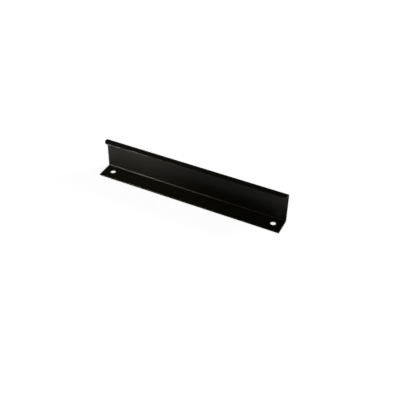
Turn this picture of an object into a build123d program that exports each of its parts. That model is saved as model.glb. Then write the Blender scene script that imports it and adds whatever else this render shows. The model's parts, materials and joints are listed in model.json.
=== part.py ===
from build123d import *
import os

# An edge pull for a cabinet door or drawer, bent from one strip of sheet. X runs along the pull and +Z is up.
# The flange lies flat with the screw holes, the web stands at its back and the lip turns forward at the top.
# The origin is midway between the two holes, on the underside of the flange.

# Driving dimensions, in millimetres
pull_length = 200.0
sheet = 1.5
bend_radius = 1.0
flange_depth = 20.0
web_height = 34.6
lip_depth = 9.0
lip_corner_radius = 5.0
hole_diameter = 5.5
hole_inset = 10.0
hole_setback = 9.5

# Where the outer faces lie. Depths and the setback are measured from the web's back face.
back_y = hole_setback
flange_front_y = back_y - flange_depth
lip_front_y = back_y - lip_depth
outer_bend_radius = bend_radius + sheet

# The section: its outer line runs from the flange's front edge under and up the back to the lip's front edge
with BuildSketch(Plane.YZ) as section:
    with BuildLine():
        outer_line = FilletPolyline(
            (flange_front_y, 0),
            (back_y, 0),
            (back_y, web_height),
            (lip_front_y, web_height),
            radius=outer_bend_radius,
        )
        offset(outer_line, amount=sheet, side=Side.LEFT)
    make_face()

with BuildPart() as pull:
    extrude(section.sketch, amount=pull_length / 2, both=True)

    # The lip's two free corners are rounded for the fingers
    lip_corners = pull.edges().filter_by(Axis.Z).group_by(Axis.Z)[-1]
    fillet(lip_corners, radius=lip_corner_radius)

    # The screw holes go straight through the flange
    with BuildSketch(Plane.XY):
        with GridLocations(pull_length - 2 * hole_inset, 0, 2, 1):
            Circle(hole_diameter / 2)
    extrude(amount=sheet, mode=Mode.SUBTRACT)

os.makedirs("parts", exist_ok=True)
export_step(pull.part, "parts/cabinet_pull.step")
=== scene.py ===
import json
import math
import bmesh
import bpy
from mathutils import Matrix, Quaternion, Vector


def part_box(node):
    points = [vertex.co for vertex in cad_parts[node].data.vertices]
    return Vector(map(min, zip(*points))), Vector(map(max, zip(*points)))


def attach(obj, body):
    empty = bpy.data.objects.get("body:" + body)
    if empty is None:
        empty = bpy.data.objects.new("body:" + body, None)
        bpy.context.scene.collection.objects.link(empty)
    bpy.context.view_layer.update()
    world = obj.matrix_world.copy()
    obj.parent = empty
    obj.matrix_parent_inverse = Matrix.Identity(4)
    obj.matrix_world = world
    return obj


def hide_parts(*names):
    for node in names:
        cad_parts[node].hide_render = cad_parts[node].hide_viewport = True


# Cabinet edge pull, bent from one strip of sheet and coated black.
# X runs along the pull, the flange lies on the floor, the web stands at the back and +Z is up.

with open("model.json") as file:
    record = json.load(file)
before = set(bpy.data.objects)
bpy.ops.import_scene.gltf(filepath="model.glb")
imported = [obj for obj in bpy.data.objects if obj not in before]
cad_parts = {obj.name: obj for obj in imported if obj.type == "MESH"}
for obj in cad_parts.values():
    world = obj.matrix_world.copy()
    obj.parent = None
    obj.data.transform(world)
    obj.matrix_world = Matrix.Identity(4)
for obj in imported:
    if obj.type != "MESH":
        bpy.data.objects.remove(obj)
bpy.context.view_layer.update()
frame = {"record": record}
pullLow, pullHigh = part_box("cabinet_pull")
pullSize = pullHigh - pullLow
screwHoles = next(m for m in frame["record"]["mounts"] if m["name"] == "screw_holes")
mm = 0.001
print("frame loaded, the pull is", [round(side / mm, 2) for side in pullSize], "mm")


# helpers for modelling and for nodes

def deselectAll():
    if bpy.context.mode != "OBJECT":
        bpy.ops.object.mode_set(mode="OBJECT")
    bpy.ops.object.select_all(action="DESELECT")


def makeActive(piece):
    deselectAll()
    piece.select_set(True)
    bpy.context.view_layer.objects.active = piece


def pick(piece, kind, test):
    # in edit mode, selects the vertices or edges whose points pass the test
    bpy.ops.mesh.select_mode(type={"verts": "VERT", "edges": "EDGE"}[kind])
    bpy.ops.mesh.select_all(action="DESELECT")
    shape = bmesh.from_edit_mesh(piece.data)
    for item in getattr(shape, kind):
        points = [item.co] if kind == "verts" else [end.co for end in item.verts]
        if test(points):
            item.select_set(True)
    shape.select_flush_mode()
    bmesh.update_edit_mesh(piece.data)


def applyModifier(piece, kind, **settings):
    makeActive(piece)
    modifier = piece.modifiers.new(kind.lower(), kind)
    for key, value in settings.items():
        setattr(modifier, key, value)
    bpy.ops.object.modifier_apply(modifier=modifier.name)


def addNode(nodes, kind, sockets=None, **settings):
    # settings first, because a node's sockets depend on them
    node = nodes.new("ShaderNode" + kind)
    for key, value in settings.items():
        setattr(node, key, value)
    for socket, value in (sockets or {}).items():
        node.inputs[socket].default_value = value
    return node


# the pull itself

pull = {
    "sheet": 0.0015,
    "outerBend": 0.0025,        # outside radius of both bends
    "bendSteps": 16,
    "lipDepth": 0.009,
    "lipCorner": 0.005,         # rounded free corners of the lip
    "cornerSteps": 14,
    "trueArc": 0.5,             # bevel profile of a round bend or corner
    "holeSides": 72,
    "cutterLength": 0.009,      # well through the flange on both sides
    "edgeRound": 0.0003,        # cut edges softened by the coat
    "edgeSteps": 3,
    "edgeAngle": 40,            # an edge that turns by more degrees than this is softened
    "flatWeight": 60,           # how firmly the flat faces keep their shading
    "near": 0.00002,            # points closer than this count as in line
}


def sheetOutline():
    # outer face of the strip: flange underside, web back and lip top, drawn out edge by edge
    backY, topZ = pullHigh.y, pullHigh.z
    lipFront = backY - pull["lipDepth"]
    near = pull["near"]
    middle = (pullLow + pullHigh) / 2

    def onBack(points):
        return all(abs(p.y - backY) < near for p in points)

    deselectAll()
    bpy.ops.mesh.primitive_plane_add(size=1, location=(middle.x, middle.y, pullLow.z))
    piece = bpy.context.object
    piece.name = "pullBody"
    piece.data.name = "pullBody"
    piece.scale = (pullSize.x, pullSize.y, 1)
    bpy.ops.object.transform_apply(location=True, rotation=True, scale=True)
    bpy.ops.object.mode_set(mode="EDIT")
    pick(piece, "edges", onBack)
    bpy.ops.mesh.extrude_region_move(TRANSFORM_OT_translate={"value": (0, 0, pullSize.z)})
    bpy.ops.mesh.extrude_region_move(TRANSFORM_OT_translate={"value": (0, -pull["lipDepth"], 0)})

    # the two bends, along the level edges at the back
    pick(piece, "edges", lambda points: onBack(points) and abs(points[0].z - points[1].z) < near)
    bpy.ops.mesh.bevel(offset=pull["outerBend"], offset_type="OFFSET", segments=pull["bendSteps"],
                       profile=pull["trueArc"], affect="EDGES", clamp_overlap=False)

    # the lip's free corners
    pick(piece, "verts", lambda points: all(abs(p.z - topZ) < near and abs(p.y - lipFront) < near
                                            for p in points))
    bpy.ops.mesh.bevel(offset=pull["lipCorner"], offset_type="OFFSET", segments=pull["cornerSteps"],
                       profile=pull["trueArc"], affect="VERTICES", clamp_overlap=False)

    # the flange's face has to look down before the sheet gets its thickness
    bpy.ops.mesh.select_all(action="SELECT")
    bpy.ops.mesh.normals_make_consistent(inside=False)
    shape = bmesh.from_edit_mesh(piece.data)
    flange = min(shape.faces, key=lambda face: face.calc_center_median().z)
    if flange.normal.z > 0:
        bpy.ops.mesh.flip_normals()
    bpy.ops.object.mode_set(mode="OBJECT")
    return piece


def holeCutter():
    # one cylinder, copied to the second hole
    radius = screwHoles["dims"]["hole_r_mm"] * mm
    spacing = screwHoles["dims"]["spacing_x_mm"] * mm
    firstHole = Vector(screwHoles["pos_m"]) + Vector((spacing / 2, 0, 0))
    deselectAll()
    bpy.ops.mesh.primitive_cylinder_add(vertices=pull["holeSides"], radius=radius,
                                        depth=pull["cutterLength"], location=firstHole)
    cutter = bpy.context.object
    bpy.ops.object.transform_apply(location=True, rotation=True, scale=True)
    bpy.ops.object.mode_set(mode="EDIT")
    bpy.ops.mesh.select_all(action="SELECT")
    bpy.ops.mesh.duplicate_move(TRANSFORM_OT_translate={"value": (-spacing, 0, 0)})
    bpy.ops.object.mode_set(mode="OBJECT")
    return cutter


pullBody = sheetOutline()
print("strip bent:", len(pullBody.data.polygons), "faces")
applyModifier(pullBody, "SOLIDIFY", thickness=pull["sheet"], offset=-1, use_even_offset=True, use_rim=True)
cutter = holeCutter()
applyModifier(pullBody, "BOOLEAN", operation="DIFFERENCE", object=cutter, solver="EXACT")
bpy.data.objects.remove(cutter)
applyModifier(pullBody, "BEVEL", width=pull["edgeRound"], segments=pull["edgeSteps"], limit_method="ANGLE",
              angle_limit=math.radians(pull["edgeAngle"]), use_clamp_overlap=False)
makeActive(pullBody)
bpy.ops.object.shade_smooth()
applyModifier(pullBody, "WEIGHTED_NORMAL", weight=pull["flatWeight"], keep_sharp=False)
print("pull finished:", len(pullBody.data.polygons), "faces")


# satin black powder coat

coat = {
    "black": (0.0015, 0.0014, 0.0011, 1),
    "worn": (0.0024, 0.0022, 0.0018, 1),
    "gloss": 0.08,
    "smoothest": 0.29,
    "roughest": 0.36,
    "cloudScale": 55,           # soft patches of tone, about two centimetres across
    "cloudDetail": 3,
    "peelScale": 900,           # orange peel, about a millimetre across
    "peelDetail": 2,
    "peelLow": 0.3,             # the peel is smoothest from here down
    "peelHigh": 0.7,            # and roughest from here up
    "peelHeight": 0.000012,
    "grainScale": 4200,         # grain of the powder, about a quarter of a millimetre
    "grainDetail": 2,
    "grainHeight": 0.000005,
}


def coatMaterial():
    made = bpy.data.materials.new("blackCoat")
    made.use_nodes = True
    nodes, links = made.node_tree.nodes, made.node_tree.links
    shader = nodes["Principled BSDF"]
    shader.inputs["Specular IOR Level"].default_value = coat["gloss"]
    place = addNode(nodes, "TexCoord").outputs["Object"]

    def noise(name):
        node = addNode(nodes, "TexNoise", {"Scale": coat[name + "Scale"], "Detail": coat[name + "Detail"]})
        links.new(place, node.inputs["Vector"])
        return node.outputs["Fac"]

    cloud = noise("cloud")
    peel = noise("peel")
    grain = noise("grain")

    tone = addNode(nodes, "Mix", {"A": coat["black"], "B": coat["worn"]}, data_type="RGBA")
    links.new(cloud, tone.inputs["Factor"])
    links.new(tone.outputs["Result"], shader.inputs["Base Color"])

    sheen = addNode(nodes, "MapRange", {"From Min": coat["peelLow"], "From Max": coat["peelHigh"],
                                        "To Min": coat["smoothest"], "To Max": coat["roughest"]})
    links.new(peel, sheen.inputs["Value"])
    links.new(sheen.outputs["Result"], shader.inputs["Roughness"])

    peelBump = addNode(nodes, "Bump", {"Distance": coat["peelHeight"]})
    links.new(peel, peelBump.inputs["Height"])
    grainBump = addNode(nodes, "Bump", {"Distance": coat["grainHeight"]})
    links.new(grain, grainBump.inputs["Height"])
    links.new(peelBump.outputs["Normal"], grainBump.inputs["Normal"])
    links.new(grainBump.outputs["Normal"], shader.inputs["Normal"])
    return made


pullBody.data.materials.clear()
pullBody.data.materials.append(coatMaterial())
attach(pullBody, "root")
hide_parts("cabinet_pull")
print("coat on")


# floor, world and lamps

studio = {
    "white": (1, 1, 1, 1),
    "floorSide": 12.0,
    "floorDrop": 0.0001,
    "floorColour": (0.86, 0.86, 0.86, 1),
    "floorNear": 0.78,          # the floor's own white by the pull, where the lamps make up the rest
    "floorFar": 1.0,            # and out past the lamps
    "nearReach": 0.30,
    "farReach": 1.10,
    "horizonTop": 0.10,         # the backdrop is white up to here, as the sine of the elevation
    "ceilingFrom": 0.30,        # and as dark as the ceiling from here up
    "ceiling": (0.03, 0.03, 0.03, 1),
    "backdropLight": 1,         # at this strength white shows as white
}


def floorMaterial():
    made = bpy.data.materials.new("paleFloor")
    made.use_nodes = True
    nodes, links = made.node_tree.nodes, made.node_tree.links
    nodes.clear()
    out = addNode(nodes, "OutputMaterial")
    paper = addNode(nodes, "BsdfDiffuse", {"Color": studio["floorColour"]})
    glow = addNode(nodes, "Emission", {"Color": studio["white"]})

    # the floor's own white shows to the camera, in gloss and through glass, and lights nothing else
    path = addNode(nodes, "LightPath")
    seen = path.outputs["Is Camera Ray"]
    for ray in ("Is Glossy Ray", "Is Transmission Ray"):
        add = addNode(nodes, "Math", operation="ADD", use_clamp=True)
        links.new(seen, add.inputs[0])
        links.new(path.outputs[ray], add.inputs[1])
        seen = add.outputs["Value"]

    # it grows with the distance from the pull
    place = addNode(nodes, "TexCoord")
    away = addNode(nodes, "VectorMath", operation="LENGTH")
    links.new(place.outputs["Object"], away.inputs[0])
    white = addNode(nodes, "MapRange", {"From Min": studio["nearReach"], "From Max": studio["farReach"],
                                        "To Min": studio["floorNear"], "To Max": studio["floorFar"]},
                    interpolation_type="SMOOTHSTEP")
    links.new(away.outputs["Value"], white.inputs["Value"])
    share = addNode(nodes, "Math", operation="MULTIPLY")
    links.new(seen, share.inputs[0])
    links.new(white.outputs["Result"], share.inputs[1])
    links.new(share.outputs["Value"], glow.inputs["Strength"])

    both = addNode(nodes, "AddShader")
    links.new(paper.outputs["BSDF"], both.inputs[0])
    links.new(glow.outputs["Emission"], both.inputs[1])
    links.new(both.outputs["Shader"], out.inputs["Surface"])
    return made


def paleFloor():
    deselectAll()
    floorHeight = pullLow.z - studio["floorDrop"]
    bpy.ops.mesh.primitive_plane_add(size=studio["floorSide"], location=(0, 0, floorHeight))
    floor = bpy.context.object
    floor.name = "floor"
    floor.data.materials.append(floorMaterial())


def studioWorld():
    world = bpy.data.worlds.new("studio")
    bpy.context.scene.world = world
    world.use_nodes = True
    nodes, links = world.node_tree.nodes, world.node_tree.links
    back = nodes["Background"]
    back.inputs["Strength"].default_value = studio["backdropLight"]
    way = addNode(nodes, "TexCoord")
    split = addNode(nodes, "SeparateXYZ")
    links.new(way.outputs["Generated"], split.inputs["Vector"])
    rise = addNode(nodes, "MapRange", {"From Min": studio["horizonTop"], "From Max": studio["ceilingFrom"]},
                   interpolation_type="SMOOTHSTEP")
    links.new(split.outputs["Z"], rise.inputs["Value"])
    tone = addNode(nodes, "Mix", {"A": studio["white"], "B": studio["ceiling"]}, data_type="RGBA")
    links.new(rise.outputs["Result"], tone.inputs["Factor"])
    links.new(tone.outputs["Result"], back.inputs["Color"])


lamps = {
    # lights the left end of the web
    "sideStrip": {"place": (-0.290, -0.400, 0.05), "aim": (-0.095, 0.008, 0.036), "wide": 0.12,
                  "high": 0.03, "spread": 12, "watts": 0.115, "tint": (1.0, 1.0, 1.0), "pullOnly": True},
    # these two draw the line along the lower bend
    "lowSoft": {"place": (-0.241, -0.298, 0.097), "aim": (-0.085, 0.0, 0.0), "wide": 0.06,
                "high": 0.06, "spread": 50, "watts": 0.10, "tint": (1.0, 0.97, 0.80), "pullOnly": True},
    "bendSoft": {"place": (-0.203, -0.155, 0.385), "aim": (-0.04, 0.0, 0.0), "wide": 0.10,
                 "high": 0.10, "spread": 60, "watts": 0.25, "tint": (1.0, 0.96, 0.66), "pullOnly": True},
    # lifts the right end of the web
    "rightStrip": {"place": (0.358, -0.361, 0.05), "aim": (0.15, 0.008, 0.040), "wide": 0.10,
                   "high": 0.03, "spread": 13, "watts": 0.095, "tint": (1.0, 1.0, 0.90), "pullOnly": True},
    # gives the back of the web its sheen
    "backStrip": {"place": (0.300, 0.420, 0.034), "aim": (-0.03, 0.009, 0.014), "wide": 0.12,
                  "high": 0.02, "spread": 24, "watts": 0.055, "tint": (1.0, 0.98, 0.96), "pullOnly": True},
    # wide and soft, for the pull and the floor alike
    "topSoft": {"place": (0.0, -0.05, 1.3), "aim": (0.0, 0.0, 0.0), "wide": 0.9,
                "high": 0.9, "spread": 180, "watts": 3.4, "tint": (1.0, 1.0, 1.0), "pullOnly": False},
    "backSoft": {"place": (0.75, 0.75, 0.55), "aim": (0.0, 0.0, 0.0), "wide": 0.4,
                 "high": 0.4, "spread": 180, "watts": 1.5, "tint": (1.0, 1.0, 1.0), "pullOnly": False},
}
lampTargets = bpy.data.collections.new("lampTargets")
lampTargets.objects.link(pullBody)


def softLamp(name, place, aim, wide, high, spread, watts, tint, pullOnly):
    deselectAll()
    turn = (Vector(aim) - Vector(place)).to_track_quat("-Z", "Y").to_euler()
    bpy.ops.object.light_add(type="AREA", location=place, rotation=turn)
    lamp = bpy.context.object
    lamp.name = name
    lamp.data.shape = "RECTANGLE"
    lamp.data.size = wide
    lamp.data.size_y = high
    lamp.data.spread = math.radians(spread)
    lamp.data.energy = watts
    lamp.data.color = tint
    lamp.visible_camera = False
    if pullOnly:        # flagged off the floor, so that it makes no pool of light there
        lamp.light_linking.receiver_collection = lampTargets


paleFloor()
studioWorld()
for lampName, setting in lamps.items():
    softLamp(lampName, **setting)
print("studio set,", len(lamps), "lamps")


# camera, found by a perspective fit of the photo's outline

shot = {
    "place": (0.24993, -0.49983, 0.44969),
    "aim": (0.00782, 0.00763, -0.00623),
    "roll": 1.169,
    "lens": 64.13,
    "sensor": 36.0,
    "clipStart": 0.01,
}


def pullCamera():
    deselectAll()
    look = (Vector(shot["aim"]) - Vector(shot["place"])).to_track_quat("-Z", "Y")
    look = look @ Quaternion((0, 0, 1), math.radians(shot["roll"]))
    bpy.ops.object.camera_add(location=shot["place"], rotation=look.to_euler())
    camera = bpy.context.object
    camera.data.sensor_width = shot["sensor"]
    camera.data.lens = shot["lens"]
    camera.data.clip_start = shot["clipStart"]
    bpy.context.scene.camera = camera


pullCamera()
bpy.context.scene.view_settings.view_transform = "Standard"
print("camera set")
